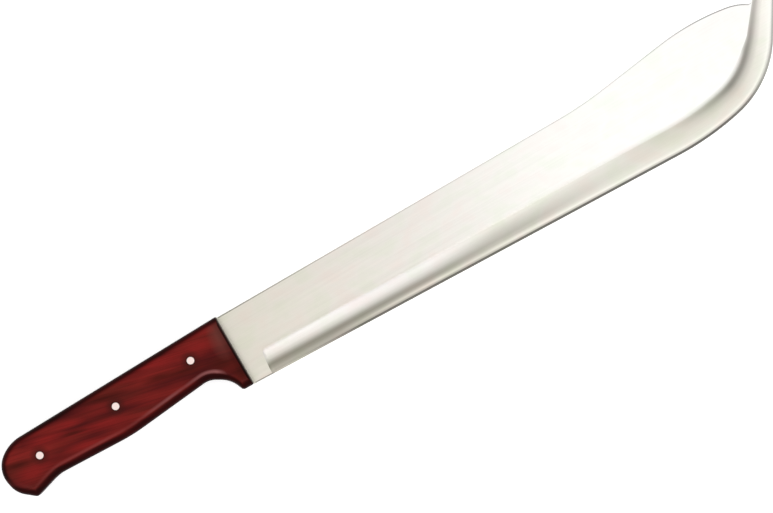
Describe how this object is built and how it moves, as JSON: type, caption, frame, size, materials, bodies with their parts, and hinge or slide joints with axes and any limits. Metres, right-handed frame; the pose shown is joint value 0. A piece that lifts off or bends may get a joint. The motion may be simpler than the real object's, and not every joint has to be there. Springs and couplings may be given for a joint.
{
  "type": "machete",
  "caption": "Full-tang machete with a hollow-ground steel blade, a hooked head and two riveted wooden scales.",
  "frame": {"origin": "on the axis of the middle rivet, halfway through the thickness of the steel", "axes": "+X to the tip, +Y to the spine, +Z out of the side that faces the viewer"},
  "size_m": [0.5594, 0.0734, 0.024],
  "materials": {
    "blade_steel": "satin ground steel, lighter towards the tip, finely scratched",
    "handle_wood": "red-brown laminated hardwood, polished, with dark streaks",
    "rivet_metal": "solid rivets ground flush and polished with the wood"
  },
  "bodies": {
    "root": {"blade": "blade_steel", "front_scale": "handle_wood", "back_scale": "handle_wood", "front_rivet": "rivet_metal", "middle_rivet": "rivet_metal", "rear_rivet": "rivet_metal"}
  },
  "joints": []
}
